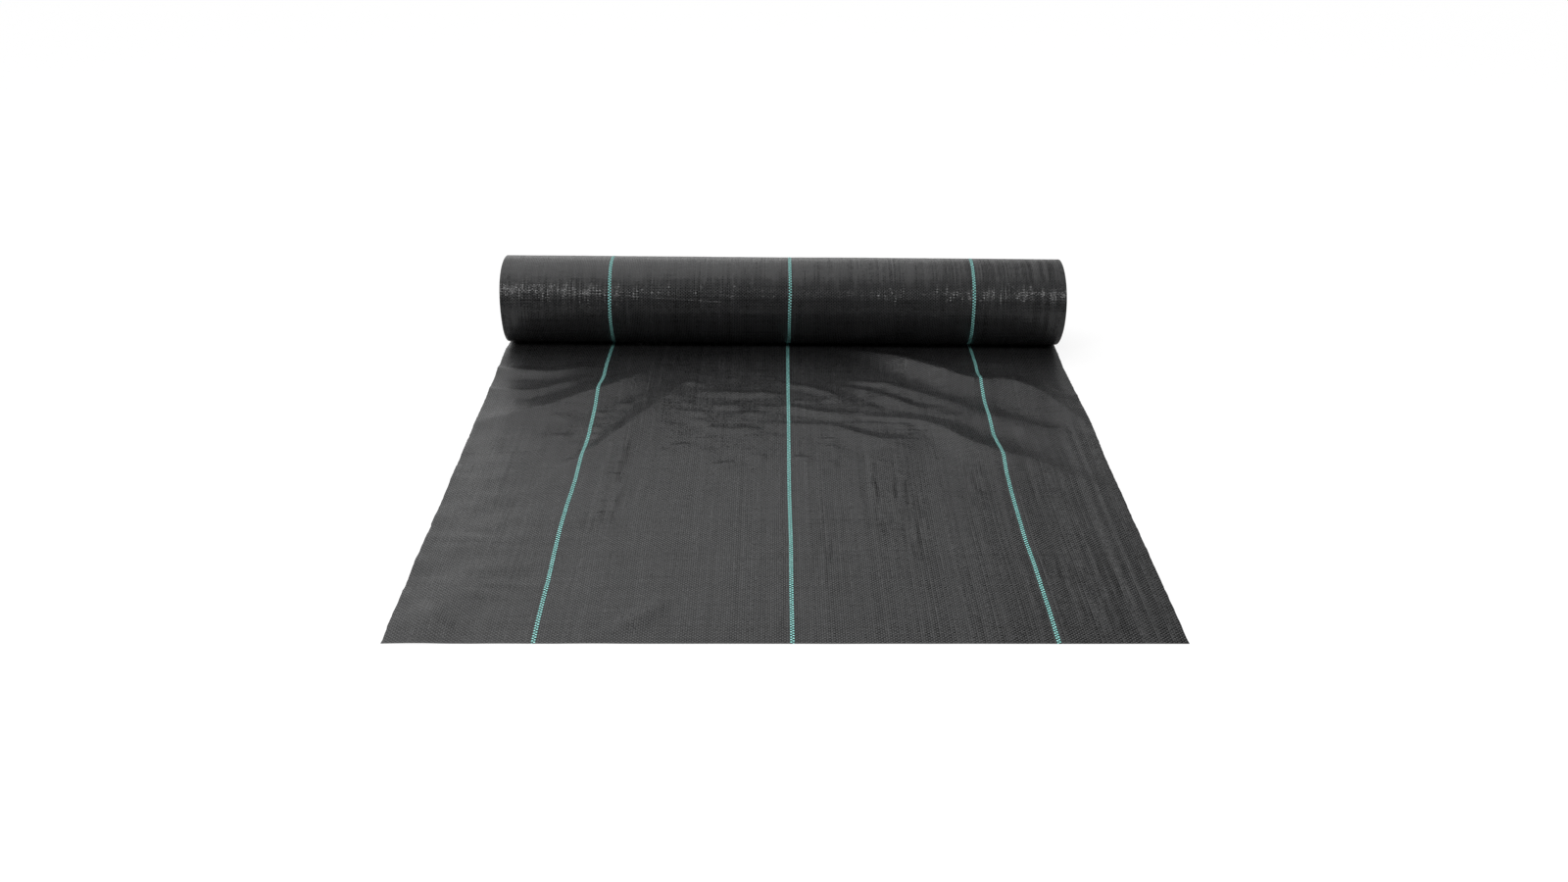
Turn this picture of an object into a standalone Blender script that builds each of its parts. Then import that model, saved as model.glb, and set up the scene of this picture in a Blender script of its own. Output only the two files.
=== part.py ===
"""Part-unrolled roll of woven landscape fabric, lying on the ground.

One web of woven tape cloth is wound on a cardboard core. Its free stretch leaves the roll at the
ground, runs out flat in front and ends in a cut edge. Three pairs of coloured warp tapes mark the
web from end to end. The roll is heavy enough to hold the web down where the two meet.

Frame: +X along the roll, +Z up, -Y the way the free stretch runs. The origin is on the ground
under the roll's axis, half way along the roll. Lengths are in metres, angles in radians.

The wound turns, the flat stretch and the short feed between them move against each other, so each
is a body of its own: the feed travels with the roll but doesn't turn, and the roll turns on it.
"""

import math

import bmesh
import bpy

# Web
web_width = 0.9144
web_thickness = 0.0013

# Roll, measured to the outer face of the last turn
roll_radius = 0.0715
turn_gap = 0.00048
points_in_turn = 24

# Core
core_bore_radius = 0.0254
core_wall = 0.003
core_setback = 0.002
core_sides = 48

# Free stretch, from the roll's line of contact to the cut edge
laid_length = 0.82
column_spacing = 0.032
row_count = 20
row_growth = 1.3

# Feed, the stretch under the roll and a little way up its back
feed_length = 0.06
feed_wrap_angle = math.radians(15)
feed_step_angle = math.radians(6)

# Marker stripes, each a pair of coloured warp tapes let in flush with the web's face
tape_width = 0.0026
tapes_in_marker = 2
tape_thickness = 0.0004
marker_sides = ("left", "middle", "right")
marker_place_shares = (-0.3095, 0.0087, 0.3368)

# Folds in the free stretch: shares of the web's width and of the laid length, heights and half
# widths as shares of the tallest and the widest
fold_height = 0.007
fold_half_width = 0.060
fold_lines = (
    {
        "line_shares": ((-0.50, 0.366), (-0.43, 0.312), (-0.33, 0.244), (-0.24, 0.160)),
        "height_share": 1.00,
        "width_share": 0.85,
    },
    {
        "line_shares": ((-0.34, 0.530), (-0.28, 0.429), (-0.22, 0.305), (-0.16, 0.201)),
        "height_share": 0.95,
        "width_share": 0.90,
    },
    {
        "line_shares": ((0.20, 0.140), (0.34, 0.172), (0.42, 0.215), (0.48, 0.330)),
        "height_share": 0.90,
        "width_share": 0.75,
    },
    {
        "line_shares": ((0.17, 0.232), (0.29, 0.300), (0.42, 0.378)),
        "height_share": 0.60,
        "width_share": 0.65,
    },
    {
        "line_shares": ((0.06, 0.344), (0.15, 0.398), (0.26, 0.420), (0.38, 0.502), (0.50, 0.610)),
        "height_share": 1.00,
        "width_share": 0.95,
    },
)

# Gap kept between pieces that touch, and how far a cutter runs past what it cuts
piece_gap = 0.0003
cutter_overrun = 0.002

# Sizes that follow from the ones above
half_width = web_width / 2
half_thickness = web_thickness / 2
half_step = math.pi / points_in_turn
turn_pitch = web_thickness + turn_gap
core_radius = core_bore_radius + core_wall
axis_height = web_thickness + piece_gap + roll_radius
outer_turn_radius = roll_radius - half_thickness / math.cos(half_step)
inner_turn_radius = (core_radius + piece_gap + half_thickness) / math.cos(half_step)
turns = (outer_turn_radius - inner_turn_radius) / turn_pitch
marker_width = tapes_in_marker * tape_width
groove_width = marker_width + 2 * piece_gap
groove_depth = tape_thickness + piece_gap
laid_start = feed_length + piece_gap
laid_run = laid_length - laid_start

# Turns an object drawn in its own XY plane so that the plane faces along the roll
across_roll = (math.pi / 2, 0, math.pi / 2)


def clear_scene():
    for item in list(bpy.data.objects):
        bpy.data.objects.remove(item, do_unlink=True)


def new_collection(name):
    collection = bpy.data.collections.new(name)
    bpy.context.scene.collection.children.link(collection)
    return collection


def new_material(name, colour, roughness, metallic=0.0):
    material = bpy.data.materials.new(name)
    material.use_nodes = True
    shader = material.node_tree.nodes["Principled BSDF"]
    shader.inputs["Base Color"].default_value = (*colour, 1.0)
    shader.inputs["Roughness"].default_value = roughness
    shader.inputs["Metallic"].default_value = metallic
    return material


def new_object(name, mesh, collection, material=None):
    item = bpy.data.objects.new(name, mesh)
    collection.objects.link(item)
    if material:
        mesh.materials.append(material)
    return item


def make_cutter(item):
    """A cutter stays in the file as a guide that neither renders nor counts as a piece."""
    item.hide_render = True
    item.display_type = "WIRE"


def new_empty(name, collection, location):
    empty = bpy.data.objects.new(name, None)
    empty.location = location
    collection.objects.link(empty)
    return empty


def carry(parent, item):
    """Parents an item so that it stays where it was placed in the world."""
    bpy.context.view_layer.update()
    item.parent = parent
    item.matrix_parent_inverse = parent.matrix_world.inverted()


def cut(item, cutters):
    for cutter in cutters:
        modifier = item.modifiers.new("groove for " + cutter.name, "BOOLEAN")
        modifier.operation = "DIFFERENCE"
        modifier.solver = "EXACT"
        modifier.object = cutter


def ribbon(name, path, width, thickness, place, collection, material=None):
    """A strip of even thickness that follows a path seen from the roll's end, centred on that path."""
    curve = bpy.data.curves.new(name + " path", "CURVE")
    curve.dimensions = "2D"
    curve.fill_mode = "NONE"
    curve.extrude = width / 2
    spline = curve.splines.new("POLY")
    spline.points.add(len(path) - 1)
    for point, (back, up) in zip(spline.points, path):
        point.co = (back, up, 0, 1)
    guide = bpy.data.objects.new(name + " guide", curve)
    collection.objects.link(guide)
    bpy.context.view_layer.update()
    mesh = bpy.data.meshes.new_from_object(guide.evaluated_get(bpy.context.evaluated_depsgraph_get()))
    bpy.data.objects.remove(guide, do_unlink=True)
    bpy.data.curves.remove(curve)
    weld_distance = thickness / 10
    welded = bmesh.new()
    welded.from_mesh(mesh)
    bmesh.ops.remove_doubles(welded, verts=welded.verts, dist=weld_distance)
    welded.to_mesh(mesh)
    welded.free()
    mesh.name = name
    item = new_object(name, mesh, collection, material)
    item.location = place
    item.rotation_euler = across_roll
    shell = item.modifiers.new("thickness", "SOLIDIFY")
    shell.thickness = thickness
    shell.offset = 0
    shell.use_even_offset = True
    return item


# Core

def build_core(collection, material):
    """A plain cardboard tube, turned from its wall's section."""
    half_length = half_width - core_setback
    outline = bmesh.new()
    corners = (
        (core_radius, half_length),
        (core_radius, -half_length),
        (core_bore_radius, -half_length),
        (core_bore_radius, half_length),
    )
    ring = [outline.verts.new((radius, 0, along)) for radius, along in corners]
    for start, end in zip(ring, ring[1:] + ring[:1]):
        outline.edges.new((start, end))
    mesh = bpy.data.meshes.new("core_tube")
    outline.to_mesh(mesh)
    outline.free()
    tube = new_object("core_tube", mesh, collection, material)
    tube.location = (0, 0, axis_height)
    tube.rotation_euler = (0, math.pi / 2, 0)
    turned = tube.modifiers.new("turned", "SCREW")
    turned.axis = "Z"
    turned.steps = core_sides
    turned.render_steps = core_sides
    turned.use_merge_vertices = True
    turned.merge_threshold = piece_gap / 10
    return tube


# Wound turns

def wound_path(first_step, last_step, lift=0.0):
    """Points on the winding, counted inward from the web's outer end at the ground and up the back.

    Lift moves them off the middle of the web's thickness, towards its outer face.
    """
    path = []
    for step in range(first_step, last_step + 1):
        angle = step * math.tau / points_in_turn
        radius = outer_turn_radius - turn_pitch * step / points_in_turn + lift / math.cos(half_step)
        path.append((radius * math.sin(angle), -radius * math.cos(angle)))
    return path


def least_gap(path):
    """The smallest clear gap between each turn and the next one in."""
    least = math.inf
    for index, (back, up) in enumerate(path[: -points_in_turn - 1]):
        for inner in (index + points_in_turn - 1, index + points_in_turn):
            start, end = path[inner], path[inner + 1]
            run = (end[0] - start[0], end[1] - start[1])
            length = math.hypot(*run)
            off = abs(run[0] * (up - start[1]) - run[1] * (back - start[0])) / length
            least = min(least, off - web_thickness)
    return least


def build_wound_web(collection, cutters, material):
    """The whole winding as one unbroken strip, with a groove for each marker in its outer turn."""
    path = wound_path(0, int(turns * points_in_turn))
    print(f"wound_web: {turns:.2f} turns, least gap {least_gap(path) * 1000:.3f} mm")
    web = ribbon("wound_web", path, web_width, web_thickness, (0, 0, axis_height), collection, material)
    last_step = points_in_turn - 1
    height = groove_depth + cutter_overrun
    lift = half_thickness - groove_depth + height / 2
    tools = []
    for side, share in zip(marker_sides, marker_place_shares):
        route = wound_path(0, last_step, lift)
        route = [run_past(route[1], route[0])] + route + [run_on(route[-2], route[-1], piece_gap)]
        place = (share * web_width, 0, axis_height)
        tools.append(ribbon(side + "_wound_groove", route, groove_width, height, place, cutters))
    cut(web, tools)
    return web, tools


def build_wound_marker(side, share, collection, material):
    route = wound_path(0, points_in_turn - 1, half_thickness - tape_thickness / 2)
    place = (share * web_width, 0, axis_height)
    return ribbon(side + "_marker_wound", route, marker_width, tape_thickness, place, collection, material)


def run_on(before, last, length):
    """A point that carries a path's last stretch on by a length."""
    run = (last[0] - before[0], last[1] - before[1])
    scale = length / math.hypot(*run)
    return last[0] + run[0] * scale, last[1] + run[1] * scale


def run_past(before, last):
    return run_on(before, last, cutter_overrun)


# Feed

def feed_path(lift=0.0):
    """Flat along the ground, then up the roll's back as sides drawn round its circle.

    The path is seen from the roll's end and measured from the roll's axis. Lift moves it off the
    middle of the web's thickness, towards the roll.
    """
    radius = roll_radius + piece_gap + half_thickness - lift
    corner = radius / math.cos(feed_step_angle / 2)
    path = [(-feed_length, -radius)]
    for step in range(int(feed_wrap_angle / feed_step_angle) + 1):
        angle = (step + 0.5) * feed_step_angle
        path.append((corner * math.sin(angle), -corner * math.cos(angle)))
    return path


def build_feed_web(collection, cutters, material):
    place = (0, 0, axis_height)
    web = ribbon("feed_web", feed_path(), web_width, web_thickness, place, collection, material)
    height = groove_depth + cutter_overrun
    lift = half_thickness - groove_depth + height / 2
    tools = []
    for side, share in zip(marker_sides, marker_place_shares):
        route = feed_path(lift)
        route = [run_past(route[1], route[0])] + route + [run_past(route[-2], route[-1])]
        place = (share * web_width, 0, axis_height)
        tools.append(ribbon(side + "_feed_groove", route, groove_width, height, place, cutters))
    cut(web, tools)
    return web, tools


def build_feed_marker(side, share, collection, material):
    route = feed_path(half_thickness - tape_thickness / 2)
    place = (share * web_width, 0, axis_height)
    return ribbon(side + "_marker_feed", route, marker_width, tape_thickness, place, collection, material)


# Free stretch

def fold_rise(across, along):
    """How far the free stretch stands off the ground at a place, by its nearest folds.

    Along is measured from the roll's line of contact towards the cut edge.
    """
    rise = 0.0
    for fold in fold_lines:
        line = [(x * web_width, y * laid_length) for x, y in fold["line_shares"]]
        lengths = [math.dist(start, end) for start, end in zip(line, line[1:])]
        reach = fold_half_width * fold["width_share"]
        nearest, travelled, place = math.inf, 0.0, 0.0
        for start, end, length in zip(line, line[1:], lengths):
            toward = (across - start[0]) * (end[0] - start[0]) + (along - start[1]) * (end[1] - start[1])
            share = min(max(toward / length**2, 0), 1)
            spot = (start[0] + share * (end[0] - start[0]), start[1] + share * (end[1] - start[1]))
            off = math.dist((across, along), spot)
            if off < nearest:
                nearest, place = off, travelled + share * length
            travelled += length
        if nearest < reach:
            body = math.cos(math.pi / 2 * nearest / reach) ** 2
            ends = math.sin(math.pi * (place + reach) / (travelled + 2 * reach))
            rise = max(rise, fold_height * fold["height_share"] * body * ends)
    return rise


def groove_walls(share):
    return [share * web_width - groove_width / 2, share * web_width + groove_width / 2]


def column_places():
    """Across the web: its edges, the edges of each marker's groove and even columns between them."""
    stops = [-half_width]
    for share in marker_place_shares:
        stops += groove_walls(share)
    stops.append(half_width)
    places = []
    for number, (start, end) in enumerate(zip(stops, stops[1:])):
        cells = 1 if number % 2 else max(1, math.ceil((end - start) / column_spacing))
        places += [start + (end - start) * cell / cells for cell in range(cells)]
    return places + [half_width]


def row_places():
    """Along the web from the feed to the cut edge, close together where the folds are."""
    return [laid_start + laid_run * (row / row_count) ** row_growth for row in range(row_count + 1)]


def laid_sheet(name, columns, fold_columns, rows, bottom, top, collection, material=None):
    """A sheet that lies over the folds, from bottom to top above the web's underside.

    Each column rises as the web does at its fold column, so that a marker lies true in its groove.
    """
    bpy.ops.mesh.primitive_grid_add(x_subdivisions=len(columns) - 1, y_subdivisions=len(rows) - 1, size=1)
    item = bpy.context.object
    item.name = name
    item.data.name = name
    for owner in list(item.users_collection):
        owner.objects.unlink(item)
    collection.objects.link(item)
    if material:
        item.data.materials.append(material)
    sheet = bmesh.new()
    sheet.from_mesh(item.data)
    for vert in sheet.verts:
        column = round((vert.co.x + 0.5) * (len(columns) - 1))
        row = round((0.5 - vert.co.y) * (len(rows) - 1))
        along = rows[row]
        vert.co = (columns[column], -along, bottom + fold_rise(fold_columns[column], along))
    bmesh.ops.triangulate(sheet, faces=sheet.faces, quad_method="FIXED")
    upper = bmesh.ops.extrude_face_region(sheet, geom=list(sheet.faces))["geom"]
    for vert in upper:
        if isinstance(vert, bmesh.types.BMVert):
            vert.co.z += top - bottom
    bmesh.ops.recalc_face_normals(sheet, faces=sheet.faces)
    sheet.to_mesh(item.data)
    sheet.free()
    return item


def build_laid_web(collection, cutters, material):
    columns = column_places()
    web = laid_sheet("laid_web", columns, columns, row_places(), 0, web_thickness, collection, material)
    rows = row_places()
    rows[0] -= cutter_overrun
    rows[-1] += cutter_overrun
    tools = []
    for side, share in zip(marker_sides, marker_place_shares):
        walls = groove_walls(share)
        floor = web_thickness - groove_depth
        top = web_thickness + cutter_overrun
        tools.append(laid_sheet(side + "_laid_groove", walls, walls, rows, floor, top, cutters))
    cut(web, tools)
    return web, tools


def build_laid_marker(side, share, collection, material):
    walls = groove_walls(share)
    columns = [walls[0] + piece_gap, walls[1] - piece_gap]
    floor = web_thickness - tape_thickness
    return laid_sheet(
        side + "_marker_laid", columns, walls, row_places(), floor, web_thickness, collection, material
    )


def main():
    clear_scene()
    pieces = new_collection("landscape_fabric_roll")
    cutters = new_collection("cutters")

    cloth = new_material("web_cloth", (0.052, 0.053, 0.055), 0.55)
    tape = new_material("marker_tape", (0.13, 0.56, 0.50), 0.45)
    card = new_material("core_card", (0.42, 0.29, 0.17), 0.85)

    travel = new_empty("roll_travel", pieces, (0, 0, 0))
    axis = new_empty("roll_axis", pieces, (0, 0, axis_height))

    carry(axis, build_core(pieces, card))
    web, tools = build_wound_web(pieces, cutters, cloth)
    for item in [web] + tools:
        carry(axis, item)
    web, tools = build_feed_web(pieces, cutters, cloth)
    for item in [web] + tools:
        carry(travel, item)
    build_laid_web(pieces, cutters, cloth)
    for side, share in zip(marker_sides, marker_place_shares):
        carry(axis, build_wound_marker(side, share, pieces, tape))
        carry(travel, build_feed_marker(side, share, pieces, tape))
        build_laid_marker(side, share, pieces, tape)
    carry(travel, axis)

    for item in cutters.objects:
        make_cutter(item)
    for item in pieces.objects:
        if item.type == "MESH" and "laid" not in item.name:
            item.data.shade_smooth()
            item.data.set_sharp_from_angle(angle=math.radians(30))


main()
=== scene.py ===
"""Roll of woven landscape fabric: its cloth, marker stripes and core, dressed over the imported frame.

Lengths are in metres. X runs along the roll, -Y is the way the free stretch runs and Z is up. The
cloth is drawn from two measures: across, from edge to edge of the web, and along, from the roll's
line of contact (0) towards the cut edge (positive) or under the roll and up its back (negative).
"""

import math

import bmesh
import bpy
import numpy as np
from mathutils import Matrix, Vector


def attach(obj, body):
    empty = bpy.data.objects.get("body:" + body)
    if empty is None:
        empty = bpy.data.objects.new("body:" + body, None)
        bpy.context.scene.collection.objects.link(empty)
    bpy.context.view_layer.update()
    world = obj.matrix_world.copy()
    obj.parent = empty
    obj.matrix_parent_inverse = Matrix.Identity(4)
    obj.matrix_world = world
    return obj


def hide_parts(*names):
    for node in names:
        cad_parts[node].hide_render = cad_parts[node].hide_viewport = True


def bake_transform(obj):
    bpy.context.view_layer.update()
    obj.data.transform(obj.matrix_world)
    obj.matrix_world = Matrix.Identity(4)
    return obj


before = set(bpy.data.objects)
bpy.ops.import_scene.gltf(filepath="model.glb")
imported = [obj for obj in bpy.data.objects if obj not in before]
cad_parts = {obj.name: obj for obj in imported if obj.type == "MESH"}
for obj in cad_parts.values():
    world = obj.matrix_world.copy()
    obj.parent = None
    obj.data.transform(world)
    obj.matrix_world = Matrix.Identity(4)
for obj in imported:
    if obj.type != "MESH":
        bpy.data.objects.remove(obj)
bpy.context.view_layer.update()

mm = 0.001

# Web, roll and core, as the frame has them
web_width = 0.9144
laid_length = 0.82
axis_height = 0.0731
core_bore_radius = 0.0254
core_radius = 0.0284
core_setback = 0.002

# Free stretch: it lies just off the ground, climbs a little before it meets the roll, and goes on under
# the roll and up its back at the hug radius, to the hug angle, where its end is eased in
cloth_thickness = 0.0005
cloth_lift = 0.0001
contact_slope_length = 0.045
hug_radius = 0.0718
hug_angle = math.radians(14)
hug_ease = 0.0001

# Weave: the spacing of its tapes
warp_pitch = 0.0027
weft_pitch = 0.0023

# Stripes: two tapes wide, and how far they stand proud of the cloth, with the share of that across them
tape_pitch = 0.0026
stripe_half_width = tape_pitch
stripe_proud = 0.00012
stripe_profile = (0.35, 1, 1, 1, 0.35)

# Roll: its outer turn is a ring, a little inside the frame's roll, and the turns inside it are one
# strip, as thick as the turn fill's share of the way from turn to turn
roll_radius = 0.0709
ring_thickness = 0.00075
ring_gap = 0.0004
turns = 40
turn_fill = 0.7
core_gap = 0.0002
outer_turn = roll_radius - ring_thickness - ring_gap
turn_pitch = (outer_turn - core_radius - core_gap) / turns

# Core: how far its spiral seam goes along it in one turn
ply_lead = 0.11


# Camera

camera_place = (-0.0203, -1.9657, 0.9033)
camera_heading = math.radians(-0.703)
camera_fall = math.radians(29.201)
camera_roll = math.radians(0.683)
camera_lens = 29.25
camera_sensor = 36


def set_camera():
    data = bpy.data.cameras.new("camera")
    data.lens = camera_lens
    data.sensor_width = camera_sensor
    camera = bpy.data.objects.new("camera", data)
    bpy.context.scene.collection.objects.link(camera)
    turn = Matrix.Rotation(camera_heading, 4, "Z")
    turn = turn @ Matrix.Rotation(math.pi / 2 - camera_fall, 4, "X")
    turn = turn @ Matrix.Rotation(camera_roll, 4, "Z")
    camera.matrix_world = Matrix.Translation(camera_place) @ turn
    bpy.context.scene.camera = camera


# Meshes

sharp_angle = math.radians(40)


def set_attribute(mesh, name, values):
    layer = mesh.attributes.new(name, "FLOAT", "POINT")
    layer.data.foreach_set("value", values.astype(np.float32))


def add_mesh(name, points, faces, across):
    """A piece from its points and faces, with how far across the web each point lies."""
    mesh = bpy.data.meshes.new(name)
    mesh.from_pydata(points.tolist(), [], faces.tolist())
    set_attribute(mesh, "across", across)
    shape = bmesh.new()
    shape.from_mesh(mesh)
    bmesh.ops.recalc_face_normals(shape, faces=shape.faces)
    shape.to_mesh(mesh)
    shape.free()
    mesh.shade_smooth()
    mesh.set_sharp_from_angle(angle=sharp_angle)
    item = bpy.data.objects.new(name, mesh)
    bpy.context.scene.collection.objects.link(item)
    return item


def grid_index(rows, columns, first=0, ring=False):
    """The numbers of a grid's points. A ring's last row is its first again."""
    index = first + np.arange(rows * columns).reshape(rows, columns)
    return np.vstack([index, index[:1]]) if ring else index


def quads(index):
    """The faces of a grid of numbered points."""
    corners = [index[:-1, :-1], index[1:, :-1], index[1:, 1:], index[:-1, 1:]]
    return np.stack(corners, -1).reshape(-1, 4)


def join_rows(first, second):
    """The faces between two lines of numbered points."""
    return np.stack([first[:-1], first[1:], second[1:], second[:-1]], -1)


def shell(upper, lower, ring=False):
    """Points and faces of a closed sheet between two grids of points."""
    rows, columns = upper.shape[:2]
    index = grid_index(rows, columns, ring=ring)
    other = index + rows * columns
    faces = [quads(index), quads(other)[:, ::-1]]
    faces += [join_rows(index[:, 0], other[:, 0]), join_rows(index[:, -1], other[:, -1])]
    if not ring:
        faces += [join_rows(index[0], other[0]), join_rows(index[-1], other[-1])]
    points = np.concatenate([upper.reshape(-1, 3), lower.reshape(-1, 3)])
    return points, np.concatenate(faces)


def grid_normals(points):
    """The way each point of a grid of points faces, from its neighbours."""
    normals = np.cross(np.gradient(points, axis=0), np.gradient(points, axis=1))
    return normals / np.linalg.norm(normals, axis=-1, keepdims=True)


def smooth(value, start, end):
    """0 before start, 1 after end and smooth between."""
    share = np.clip((value - start) / (end - start), 0, 1)
    return share * share * (3 - 2 * share)


def within(value, start, full, fading, end):
    """0 outside start and end, 1 from full to fading and smooth between."""
    return smooth(value, start, full) * (1 - smooth(value, fading, end))


def through(points, steps=14):
    """A smooth line through the points, with as many steps between each two."""
    points = np.array(points, float)
    ends = np.vstack([2 * points[0] - points[1], points, 2 * points[-1] - points[-2]])
    t = np.linspace(0, 1, steps, endpoint=False)[:, None]
    line = []
    for a, b, c, d in zip(ends, ends[1:], ends[2:], ends[3:]):
        square = (2 * a - 5 * b + 4 * c - d) * t**2
        cube = (3 * b - a - 3 * c + d) * t**3
        line.append(0.5 * (2 * b + (c - a) * t + square + cube))
    return np.vstack(line + [points[-1:]])


# Folds of the free stretch: how crisp the slopes behind and in front are at the crest, up to 1, and then
# the crest from left to right through (x, y, height, reach behind, reach in front), in mm
folds = (
    ((0.3, 0.6), (-460, -122, 4, 22, 26), (-420, -133, 6.5, 28, 26), (-380, -137, 6.5, 28, 24),
     (-345, -127, 4.5, 24, 20), (-315, -109, 1.5, 20, 20)),
    ((0.4, 0.6), (-465, -192, 2, 15, 26), (-420, -199, 3, 16, 28), (-385, -196, 3, 16, 24),
     (-355, -180, 4, 20, 20), (-335, -165, 2.5, 18, 16), (-315, -150, 1, 16, 16)),
    ((0.5, 0.6), (-475, -316, 2, 40, 60), (-440, -293, 3.4, 46, 60), (-410, -279, 4, 48, 60),
     (-370, -259, 5.4, 46, 64), (-340, -238, 6.5, 46, 60), (-310, -216, 7.5, 46, 56),
     (-280, -195, 8.5, 46, 52), (-250, -169, 9, 44, 48), (-225, -143, 6.5, 36, 40),
     (-200, -117, 2.5, 30, 30)),
    ((0.5, 0.5), (-318, -447, 1.2, 18, 60), (-292, -412, 4.2, 22, 80), (-266, -373, 6, 25, 90),
     (-238, -324, 6.8, 28, 90), (-212, -279, 7, 32, 90), (-190, -236, 7, 38, 80),
     (-163, -189, 5.5, 46, 60), (-130, -144, 2, 40, 40)),
    ((0.6, 0.5), (-145, -205, 0.4, 14, 20), (-120, -201, 1.6, 16, 22), (-85, -199, 2.8, 16, 26),
     (-55, -201, 2.2, 16, 26), (-28, -201, 2.8, 16, 24), (0, -205, 0.6, 14, 20)),
    ((0.6, 0.5), (-5, -166, 1, 14, 16), (25, -177, 2.8, 16, 20), (55, -190, 2.8, 16, 18),
     (78, -207, 2.2, 14, 16), (95, -215, 0.6, 12, 14)),
    ((0.5, 0.5), (100, -156, 0.8, 14, 14), (125, -163, 3.4, 16, 16), (155, -168, 3, 16, 16),
     (180, -170, 1, 14, 14)),
    ((0.6, 0.5), (0, -242, 0.8, 16, 18), (20, -253, 2.4, 18, 20), (60, -267, 2.8, 20, 20),
     (100, -272, 2.2, 20, 18), (125, -264, 0.8, 16, 16)),
    ((0.6, 0.4), (98, -178, 0.8, 16, 16), (120, -190, 3.2, 18, 24), (150, -207, 4, 20, 34),
     (175, -226, 4, 20, 32), (200, -245, 2.6, 20, 26), (230, -258, 0.8, 18, 24)),
    ((0.5, 0.4), (150, -165, 0.8, 18, 18), (175, -181, 4, 22, 26), (205, -197, 4.4, 24, 30),
     (240, -217, 3, 24, 28), (275, -239, 1.4, 22, 30)),
    ((0.5, 0.7), (90, -40, 1, 30, 15), (130, -57, 6, 36, 22), (160, -77, 12, 44, 30),
     (200, -106, 17, 54, 42), (250, -134, 14.5, 56, 50), (300, -162, 12, 50, 62),
     (350, -166, 12, 46, 88), (380, -185, 11, 48, 96), (410, -221, 9, 50, 92),
     (438, -274, 6.5, 52, 76), (462, -335, 3, 46, 56)),
    ((0.4, 0.2), (275, -248, 0.8, 26, 36), (300, -267, 2.4, 30, 44), (350, -293, 3.4, 32, 52),
     (400, -323, 3.4, 32, 52), (455, -359, 1.6, 30, 40)),
    ((0.6, 0.4), (118, -274, 1, 20, 14), (150, -282, 3, 24, 14), (200, -293, 4.4, 32, 18),
     (235, -319, 6.2, 42, 40), (262, -353, 6.8, 48, 50), (300, -384, 7, 50, 66),
     (340, -405, 5.4, 44, 66), (390, -442, 3.2, 36, 60), (445, -486, 1.4, 30, 50)),
    ((0.5, 0.4), (128, -301, 0.5, 7, 9), (155, -301, 1.3, 8, 10), (185, -305, 1.5, 8, 10),
     (215, -311, 0.5, 7, 9)),
    ((0.5, 0.4), (168, -319, 0.5, 8, 10), (190, -320, 1.5, 9, 12), (212, -325, 1.3, 9, 12),
     (232, -331, 0.5, 8, 9)),
    ((0.7, 0.4), (-20, -298, 0.8, 16, 26), (30, -305, 2, 16, 34), (75, -310, 2.8, 20, 36),
     (108, -333, 4.2, 24, 42), (140, -350, 4.8, 28, 48), (180, -352, 3.6, 28, 44),
     (215, -349, 1.2, 22, 34)),
    ((0.7, 0.4), (412, -87, 1, 22, 22), (409, -122, 3.4, 24, 30), (409, -159, 4.4, 26, 30),
     (414, -192, 3.4, 24, 28), (435, -203, 2, 20, 24), (470, -205, 1.2, 18, 20)),
    ((0.4, 0.3), (-245, -817, 1.2, 15, 30), (-210, -802, 3.4, 16, 34), (-175, -772, 3.2, 16, 34),
     (-145, -739, 0.8, 15, 24)),
    ((0.4, 0.4), (-440, -739, 0.6, 15, 20), (-414, -766, 3.2, 16, 22), (-390, -792, 3.4, 16, 22),
     (-370, -814, 1.2, 15, 20)),
)

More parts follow.
